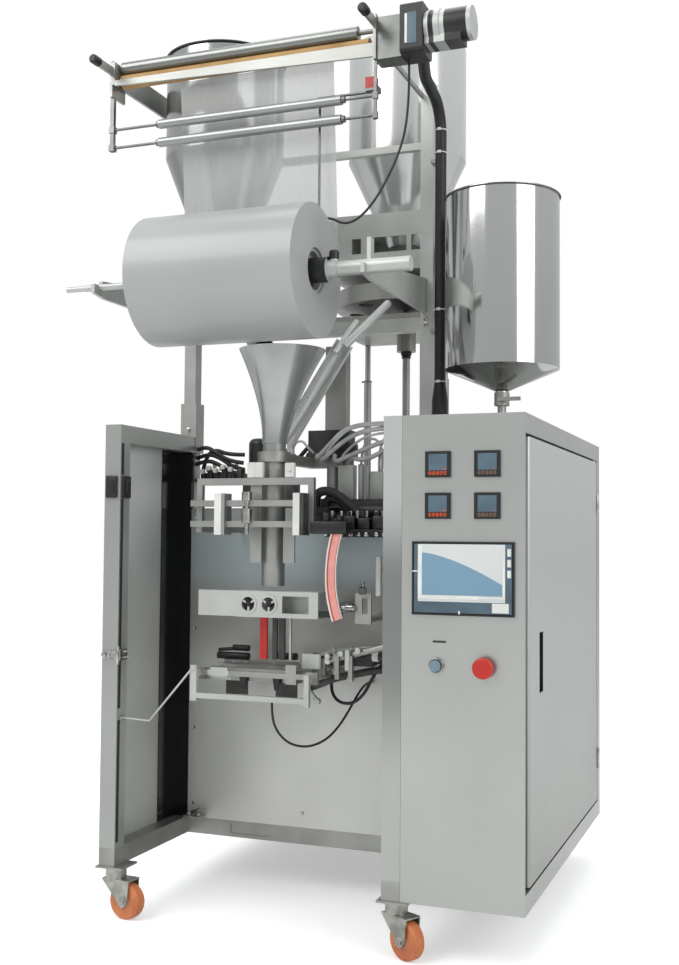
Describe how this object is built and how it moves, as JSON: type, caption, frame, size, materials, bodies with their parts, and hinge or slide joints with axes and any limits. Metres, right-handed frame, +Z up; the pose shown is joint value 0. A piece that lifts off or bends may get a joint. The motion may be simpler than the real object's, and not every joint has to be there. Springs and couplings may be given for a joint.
{
  "type": "granule packing machine",
  "caption": "Upright granule packing machine with film roll, feed rollers, cup filler, hoppers, forming tube, sealing jaws and a control cabinet on casters.",
  "frame": {"origin": "middle of the base, on the floor under the casters", "axes": "+Z up, the open front faces -Y, the control cabinet is at +X"},
  "size_m": [0.9966, 1.0874, 1.987],
  "materials": {
    "stainless": "brushed",
    "zinc_steel": "satin",
    "orange_tyre": "satin",
    "polished_steel": "polished",
    "dark_pane": "gloss",
    "black_plastic": "matt",
    "black_metal": "satin",
    "white_plastic": "gloss",
    "red_plastic": "gloss",
    "packing_film": "gloss",
    "aluminium_roller": "satin",
    "tan_rubber": "matt"
  },
  "bodies": {
    "frame": {"back_cable": "black_plastic", "back_panel": "stainless", "base_frame": "stainless", "cabinet_shell": "stainless", "cable_conduit": "black_plastic", "control_panel": "stainless", "cross_beams": "stainless", "feed_arms": "stainless", "feed_motor": "black_metal", "filler_base": "stainless", "filler_chutes": "stainless", "filler_legs": "stainless", "filler_top": "stainless", "film_web": "packing_film", "forming_funnel": "stainless", "forming_mount": "stainless", "forming_tube": "stainless", "front_posts": "stainless", "guide_frame": "stainless", "hopper_outlet": "stainless", "jaw_cable": "black_plastic", "jaw_frame": "stainless", "left_hopper": "stainless", "left_side_panel": "stainless", "left_top_rail": "stainless", "left_window": "dark_pane", "liquid_hopper": "polished_steel", "liquid_valve": "stainless", "nip_knobs": "black_plastic", "pull_unit": "stainless", "rear_housing": "stainless", "right_hopper": "stainless", "right_wall": "stainless", "roll_arms": "stainless", "roller_hangers": "stainless", "sensor_cable": "black_plastic", "temperature_controllers": "black_plastic", "top_bar": "stainless", "touch_screen": "black_plastic", "upper_columns": "stainless"},
    "fork_front_left": {"caster_fork_front_left": "zinc_steel"},
    "wheel_front_left": {"caster_wheel_front_left": "orange_tyre"},
    "fork_front_right": {"caster_fork_front_right": "zinc_steel"},
    "wheel_front_right": {"caster_wheel_front_right": "orange_tyre"},
    "fork_rear_left": {"caster_fork_rear_left": "zinc_steel"},
    "wheel_rear_left": {"caster_wheel_rear_left": "orange_tyre"},
    "fork_rear_right": {"caster_fork_rear_right": "zinc_steel"},
    "wheel_rear_right": {"caster_wheel_rear_right": "orange_tyre"},
    "door": {"side_door": "stainless"},
    "roll": {"film_roll": "packing_film", "roll_shaft": "stainless"},
    "drive_roller": {"drive_roller": "tan_rubber"},
    "pinch_roller": {"pinch_roller": "aluminium_roller"},
    "upper_guide_roller": {"upper_guide_roller": "aluminium_roller"},
    "lower_guide_roller": {"lower_guide_roller": "aluminium_roller"},
    "turntable": {"turntable": "stainless"},
    "start_button": {"start_button": "white_plastic"},
    "stop_button": {"stop_button": "red_plastic"},
    "front_jaw": {"front_jaw": "stainless"},
    "rear_jaw": {"rear_jaw": "stainless"}
  },
  "joints": [
    {"name": "caster_swivel_front_left", "type": "hinge", "parent": "frame", "child": "fork_front_left", "pos_m": [-0.40225, -0.33425, 0.11], "axis": [0, 0, 1], "continuous": true},
    {"name": "caster_roll_front_left", "type": "hinge", "parent": "fork_front_left", "child": "wheel_front_left", "pos_m": [-0.37241, -0.33739, 0.0375], "axis": [0.1045, 0.9945, 0], "continuous": true},
    {"name": "caster_swivel_front_right", "type": "hinge", "parent": "frame", "child": "fork_front_right", "pos_m": [0.22325, -0.33425, 0.11], "axis": [0, 0, 1], "continuous": true},
    {"name": "caster_roll_front_right", "type": "hinge", "parent": "fork_front_right", "child": "wheel_front_right", "pos_m": [0.24949, -0.34879, 0.0375], "axis": [0.4848, 0.8746, 0], "continuous": true},
    {"name": "caster_swivel_rear_left", "type": "hinge", "parent": "frame", "child": "fork_rear_left", "pos_m": [-0.40225, 0.51175, 0.11], "axis": [0, 0, 1], "continuous": true},
    {"name": "caster_roll_rear_left", "type": "hinge", "parent": "fork_rear_left", "child": "wheel_rear_left", "pos_m": [-0.37314, 0.50449, 0.0375], "axis": [0.2419, 0.9703, 0], "continuous": true},
    {"name": "caster_swivel_rear_right", "type": "hinge", "parent": "frame", "child": "fork_rear_right", "pos_m": [0.22325, 0.51175, 0.11], "axis": [0, 0, 1], "continuous": true},
    {"name": "caster_roll_rear_right", "type": "hinge", "parent": "fork_rear_right", "child": "wheel_rear_right", "pos_m": [0.24782, 0.49454, 0.0375], "axis": [0.5736, 0.8192, 0], "continuous": true},
    {"name": "side_door_hinge", "type": "hinge", "parent": "frame", "child": "door", "pos_m": [0.47275, 0.48875, 0.6], "axis": [0, 0, 1], "range_deg": [0, 110]},
    {"name": "film_roll_turn", "type": "hinge", "parent": "frame", "child": "roll", "pos_m": [-0.12925, -0.41125, 1.329], "axis": [1, 0, 0], "continuous": true},
    {"name": "drive_roller_turn", "type": "hinge", "parent": "frame", "child": "drive_roller", "pos_m": [-0.12925, -0.31925, 1.804], "axis": [1, 0, 0], "continuous": true},
    {"name": "pinch_roller_turn", "type": "hinge", "parent": "frame", "child": "pinch_roller", "pos_m": [-0.12925, -0.31925, 1.834], "axis": [1, 0, 0], "continuous": true},
    {"name": "upper_guide_roller_turn", "type": "hinge", "parent": "frame", "child": "upper_guide_roller", "pos_m": [-0.12925, -0.33925, 1.692], "axis": [1, 0, 0], "continuous": true},
    {"name": "lower_guide_roller_turn", "type": "hinge", "parent": "frame", "child": "lower_guide_roller", "pos_m": [-0.12925, -0.33925, 1.652], "axis": [1, 0, 0], "continuous": true},
    {"name": "turntable_turn", "type": "hinge", "parent": "frame", "child": "turntable", "pos_m": [0.07575, 0.16875, 1.352], "axis": [0, 0, 1], "continuous": true},
    {"name": "start_button_press", "type": "slide", "parent": "frame", "child": "start_button", "axis": [0, 1, 0], "range_m": [0, 0.004], "stiffness_N_per_m": 300, "springref_m": -0.001},
    {"name": "stop_button_press", "type": "slide", "parent": "frame", "child": "stop_button", "axis": [0, 1, 0], "range_m": [0, 0.004]},
    {"name": "front_jaw_slide", "type": "slide", "parent": "frame", "child": "front_jaw", "axis": [0, 1, 0], "range_m": [0, 0.02]},
    {"name": "rear_jaw_slide", "type": "slide", "parent": "frame", "child": "rear_jaw", "axis": [0, -1, 0], "range_m": [0, 0.02]}
  ],
  "couplings": [
    {"joint": "pinch_roller_turn", "follows": "drive_roller_turn", "ratio": -1.0714},
    {"joint": "rear_jaw_slide", "follows": "front_jaw_slide", "ratio": 1}
  ]
}
